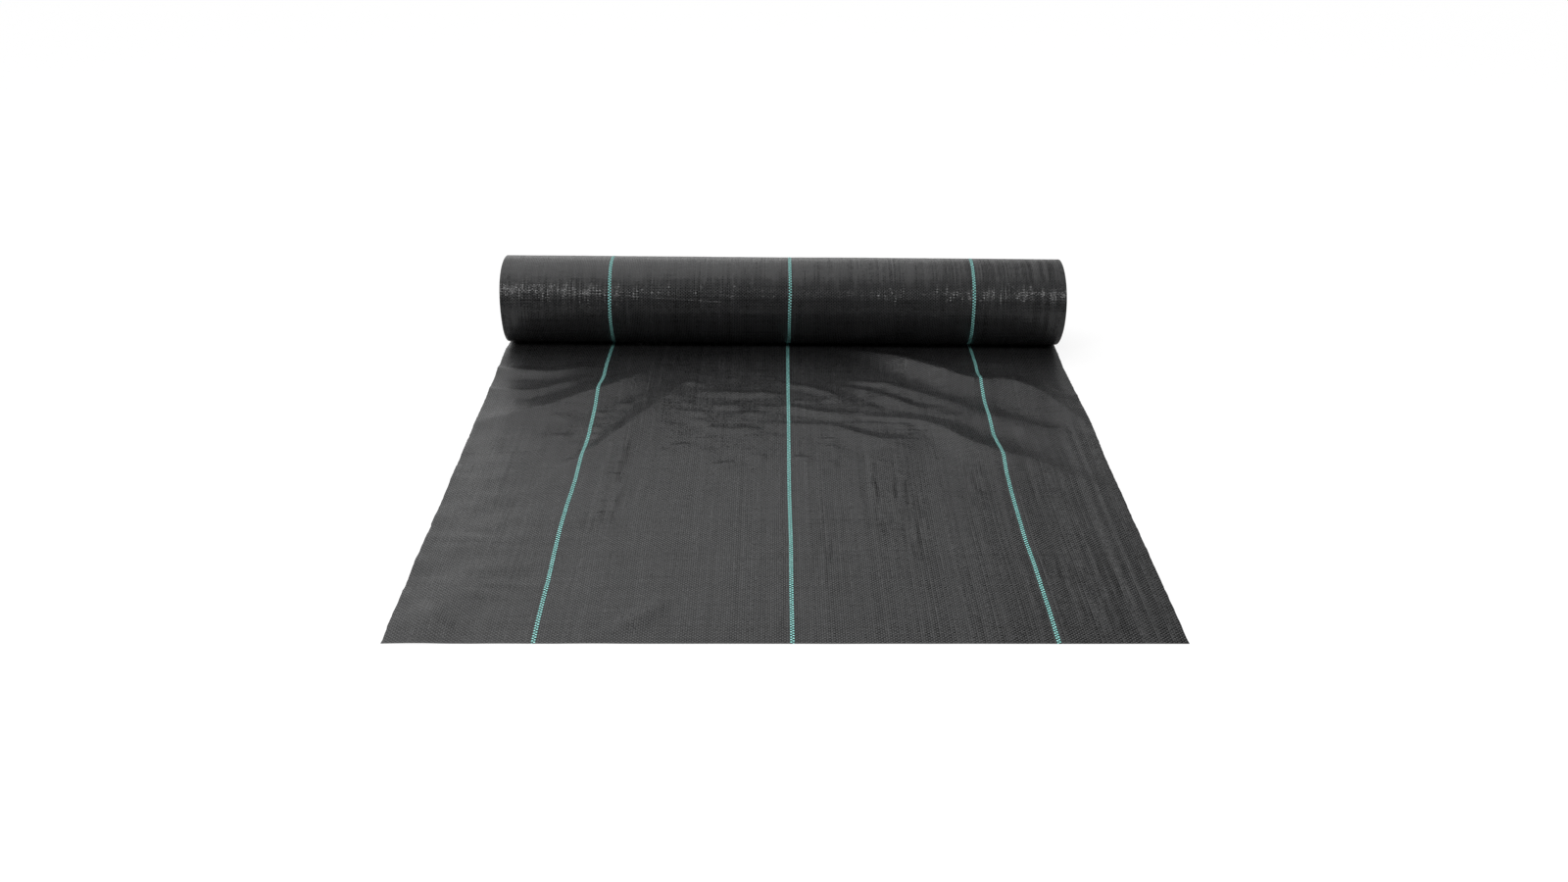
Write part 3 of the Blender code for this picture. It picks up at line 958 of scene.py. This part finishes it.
# The thin slanting crease on the roll: where it starts and ends across, where it starts along, how far it
# falls for each metre across, and its slope where it starts and how that grows across
roll_crease_span = (-0.36, -0.07)
roll_crease_start = -0.0705
roll_crease_fall = 0.064
roll_crease_slope = (0.05, 0.95)


def cut_edges(tree, along):
    """Where the roll's ends are, and the tone of each turn's edge there."""
    facing = split(tree, tree.nodes.new("ShaderNodeNewGeometry").outputs["True Normal"])
    ends = facing[0].node("ABSOLUTE").between(0.6, 0.9)
    back, up = place_of(tree)
    reach = (back * back + up * up).node("SQRT")
    turn = (reach * -1 + outer_turn) / turn_pitch + along / (roll_radius * math.tau) + 0.5
    number = turn.node("FLOOR")
    tone = random_of(tree, number + 0.37) * 0.6
    tone = tone + noise_of(tree, number * tape_step, along * 30, 2.0) * 0.8
    return ends, tone.between(0.35, 1.15)


def roll_crease(across, along):
    """The slope of the slanting crease."""
    start, end = roll_crease_span
    run = across - start
    line = (along - roll_crease_start + run * roll_crease_fall).node("ABSOLUTE")
    share = line.between(0.0016, 0.0004) * across.between(start, start + 0.05)
    share = share * across.between(end, end - 0.05)
    first, growth = roll_crease_slope
    return share * (run * growth + first)


def tape_colour(tree, across, along, tapes, lightest_tape, bands, spots):
    """The tapes' colour: by whole tapes, along them, in bands down the web, in patches and in spots, with
    the weft floats painted lighter than the warp floats, a painted sheen.
    """
    warp_whole = random_of(tree, tapes["warp"] + 0.21)
    weft_whole = random_of(tree, tapes["weft"] + 0.83)
    whole = tapes["over"] * warp_whole + tapes["under"] * weft_whole
    band = noise_of(tree, across * 90, along * 2.2, 3.0) - 0.5
    patch = noise_of(tree, across * 9, along * 9, 3.0)
    spot = noise_of(tree, across * 170, along * 150, 2.0) - 0.5
    level = tapes["tone"] + whole * 0.5 + band * bands + patch * 0.5 + spot * spots
    # The weft floats (under) are painted lighter: painted sheen
    level = level + tapes["under"] + (tapes["cell"] - 0.5) * 0.6
    return mix_colour(tree, level.between(0.9, 2.1), darkest_tape, lightest_tape)


def make_cloth_material(name, on_roll):
    """Black slit-film tapes in plain weave: each tape a shallow arch, a little unlike its neighbours."""
    material, tree, shader = new_material(name)
    # On the roll the cloth takes the darker copy of its colours: painted shade
    look = dict(shaded_roll_look if on_roll else laid_look)
    shader.inputs["IOR"].default_value = look.pop("ior")
    across, along = web_places(tree, on_roll)
    tapes = weave(tree, across, along, warp_pitch, **(roll_weave if on_roll else laid_weave))
    over, under, gap, seam = (tapes[part] for part in ("over", "under", "gap", "seam"))
    marks = read_attribute(tree, "marks")
    colour = tape_colour(tree, across, along, tapes, **look)
    # Strokes that darken the tapes at the creased places: painted shade in the creases
    crease_shade_strokes = noise_of(tree, across * 150, along * 11).between(0.50, 0.62)
    crease_shade_strokes = crease_shade_strokes + noise_of(tree, across * 24, along * 130).between(0.54, 0.64) * 0.5
    # Painted shade: the gaps between tapes, the seams where a tape goes under the next and the crease
    # strokes are darkened towards the painted shade colour
    shade = gap * 0.85 + seam * 0.6 + crease_shade_strokes * marks
    colour = mix_colour(tree, shade.node("MINIMUM", 1.0), colour, painted_shade_colour)
    warp_fibre = noise_of(tree, across * 1800, along * 160)
    weft_fibre = noise_of(tree, across * 160, along * 1800)
    fine = over * warp_fibre + under * weft_fibre
    rough = fine * 0.12 + tapes["tone"] * 0.08 + gap * 0.8 + seam * 0.3 + 0.14
    grain = (fine - 0.5) * 0.06
    pressed_u = (noise_of(tree, across * 150, along * 16, z=5.0) - 0.5) * marks * 0.8
    pressed_v = (noise_of(tree, across * 20, along * 120, z=5.0) - 0.5) * marks * 0.9
    slope_u = tapes["slope_u"] + over * grain + pressed_u
    slope_v = tapes["slope_v"] + under * grain + pressed_v - gap * 1.2
    if on_roll:
        ends, turn_tone = cut_edges(tree, along)
        colour = mix_colour(tree, ends, colour, mix_colour(tree, turn_tone, dark_edge, light_edge))
        rough = rough * ends.less_from(1) + ends * edge_finish
        slope_v = slope_v - roll_crease(across, along)
    feed(tree, colour, shader.inputs["Base Color"])
    feed(tree, rough, shader.inputs["Roughness"])
    feed(tree, lean_normal(tree, slope_u, slope_v), shader.inputs["Normal"])
    return material


# A stripe's colours: its tapes from dull to bright, the black weft over them, and the painted shade in the
# gaps and at the seams where a tape goes under
dull_teal, bright_teal = (0.300, 0.800, 0.745), (0.420, 0.930, 0.880)
stripe_black = (0.002, 0.0025, 0.0025)
stripe_shade_colour = (0.006, 0.010, 0.010)


def make_tape_material(name, on_roll):
    """The stripe's two coloured warp tapes, each crossed by every other black weft tape."""
    material, tree, shader = new_material(name)
    across, along = web_places(tree, on_roll)
    tapes = weave(tree, across, along, tape_pitch, **stripe_weave)
    under, gap, seam = (tapes[part] for part in ("under", "gap", "seam"))
    tone = tapes["cell"]
    crossed = (under + seam).node("MINIMUM", 1.0)
    colour = mix_colour(tree, crossed, mix_colour(tree, tone, dull_teal, bright_teal), stripe_black)
    # Painted shade: the gaps and seams are darkened towards the stripe's shade colour
    shade = (gap * 0.9 + seam * 0.5).node("MINIMUM", 1.0)
    feed(tree, mix_colour(tree, shade, colour, stripe_shade_colour), shader.inputs["Base Color"])
    fibre = noise_of(tree, across * 1800, along * 160)
    feed(tree, fibre * 0.16 + tone * 0.08 + under * 0.3 + 0.28, shader.inputs["Roughness"])
    grain = (fibre - 0.5) * 0.06
    feed(tree, lean_normal(tree, tapes["slope_u"] + grain, tapes["slope_v"]), shader.inputs["Normal"])
    shader.inputs["IOR"].default_value = 1.49
    return material


# The board's colours: between its fibres, on them, its flecks and the seam of its plies
board_dark, board_light = (0.30, 0.190, 0.105), (0.42, 0.285, 0.170)
board_fleck, board_seam = (0.17, 0.10, 0.055), (0.12, 0.07, 0.04)


def make_card_material():
    """Brown board: long fibres, flecks and a darker line where the plies meet."""
    material, tree, shader = new_material("card")
    across, along = web_places(tree, True)
    fibre = noise_of(tree, across * 220, along * 900, 4.0)
    fleck = noise_of(tree, across * 700, along * 700, 2.0)
    phase = across / ply_lead - along / (roll_radius * math.tau)
    seam = (phase - phase.node("FLOOR") - 0.5).node("ABSOLUTE").between(0.02, 0.0)
    colour = mix_colour(tree, fibre.between(0.3, 0.7), board_dark, board_light)
    colour = mix_colour(tree, fleck.between(0.60, 0.72) * 0.5, colour, board_fleck)
    colour = mix_colour(tree, seam * 0.5, colour, board_seam)
    feed(tree, colour, shader.inputs["Base Color"])
    feed(tree, fibre * 0.15 + 0.75, shader.inputs["Roughness"])
    bump = tree.nodes.new("ShaderNodeBump")
    bump.inputs["Distance"].default_value = 0.0001
    feed(tree, fibre, bump.inputs["Height"])
    feed(tree, bump.outputs[0], shader.inputs["Normal"])
    return material


# Studio

# How bright the surroundings are, from level behind the roll (0) through overhead (0.5) to level on the
# camera's side (1), and how much of that is taken off on the right: over a wide part and a narrow one
surroundings = (
    (0.0, 1.10),
    (0.13, 1.24),
    (0.20, 1.00),
    (0.33, 1.58),
    (0.50, 1.95),
    (0.58, 0.90),
    (0.66, 0.26),
    (0.80, 0.10),
    (1.0, 0.05),
)
brightest = 2.0
off_on_right = ((0.0, 0.36, -0.72), (0.18, 0.27, -0.20))

# Softboxes: name, place, aim, size and power
softboxes = (
    ("left softbox", (-1.15, -1.45, 1.55), (-0.35, 0.0, 0.10), 0.45, 10.0),
    ("right softbox", (1.25, -1.45, 1.45), (0.38, 0.0, 0.10), 0.5, 9.0),
)

# Floor: half its width, how far it lies below the cloth, its colour as the camera and as the light see
# it, and its glow for the camera alone
floor_half = 9.0
floor_drop = 0.0003
floor_seen, floor_lit = (0.26, 0.26, 0.26), (0.82, 0.82, 0.82)
floor_glow = 0.82


def camera_ray(tree):
    return Value(tree, tree.nodes.new("ShaderNodeLightPath").outputs["Is Camera Ray"])


def make_world():
    """White for the camera, and for all other rays a soft gradient from behind the roll to the camera."""
    world = bpy.data.worlds.new("studio")
    bpy.context.scene.world = world
    world.use_nodes = True
    tree = world.node_tree
    background = tree.nodes["Background"]
    background.inputs["Color"].default_value = (1, 1, 1, 1)
    side, back, up = split(tree, tree.nodes.new("ShaderNodeTexCoord").outputs["Generated"])
    ramp = tree.nodes.new("ShaderNodeValToRGB")
    ramp.color_ramp.interpolation = "B_SPLINE"
    feed(tree, up.node("ARCTAN2", back) / math.pi, ramp.inputs["Fac"])
    stops = ramp.color_ramp.elements
    for position, _ in surroundings[1:-1]:
        stops.new(position)
    for stop, (position, bright) in zip(stops, surroundings):
        stop.position = position
        stop.color = (*[bright / brightest] * 3, 1)
    wide, narrow = (side.between(start, end) * share for start, end, share in off_on_right)
    level = Value(tree, ramp.outputs["Color"]) * brightest * (wide + narrow + 1)
    seen = camera_ray(tree)
    feed(tree, level * seen.less_from(1) + seen, background.inputs["Strength"])


def make_softboxes():
    for name, place, aim, size, power in softboxes:
        data = bpy.data.lights.new(name, "AREA")
        data.size = size
        data.energy = power
        lamp = bpy.data.objects.new(name, data)
        bpy.context.scene.collection.objects.link(lamp)
        way = Vector(place) - Vector(aim)
        lamp.matrix_world = Matrix.Translation(place) @ way.to_track_quat("Z", "Y").to_matrix().to_4x4()


def make_floor():
    """A pale floor without gloss: it glows for the camera alone, and keeps the object's shadow."""
    low, high = -floor_half, floor_half
    corners = [(low, low, 0.0), (high, low, 0.0), (high, high, 0.0), (low, high, 0.0)]
    mesh = bpy.data.meshes.new("floor")
    mesh.from_pydata(corners, [], [(0, 1, 2, 3)])
    floor = bpy.data.objects.new("floor", mesh)
    floor.location.z = -floor_drop
    bpy.context.scene.collection.objects.link(floor)
    material, tree, shader = new_material("pale floor")
    seen = camera_ray(tree)
    shader.inputs["Roughness"].default_value = 0.9
    shader.inputs["Specular IOR Level"].default_value = 0.0
    feed(tree, mix_colour(tree, seen, floor_lit, floor_seen), shader.inputs["Base Color"])
    shader.inputs["Emission Color"].default_value = (1, 1, 1, 1)
    feed(tree, seen * floor_glow, shader.inputs["Emission Strength"])
    mesh.materials.append(material)


def main():
    bpy.context.scene.view_settings.view_transform = "Standard"
    set_camera()
    laid_material = make_cloth_material("woven_cloth", False)
    roll_material = make_cloth_material("woven_cloth_on_roll", True)
    laid_tape = make_tape_material("woven_stripe", False)
    roll_tape = make_tape_material("woven_stripe_on_roll", True)

    cloth, stripes = make_laid_cloth(laid_material, laid_tape)
    for piece in [cloth] + stripes:
        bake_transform(piece)
    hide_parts("laid_web", "feed_web")
    for side, stripe in zip(stripe_places, stripes):
        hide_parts(side + "_marker_laid", side + "_marker_feed")

    roll, length = make_roll_cloth(roll_material)
    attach(roll, "roll")
    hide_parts("wound_web")
    for side, place in roll_stripe_places.items():
        ring = make_roll_stripe(side, place, roll_tape)
        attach(ring, "roll")
        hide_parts(side + "_marker_wound")
    print("the roll holds a web of", round(length, 3), "m, which its flat size is rounded from")
    core = make_core(make_card_material())
    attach(core, "roll")
    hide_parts("core_tube")

    make_world()
    make_softboxes()
    make_floor()


main()
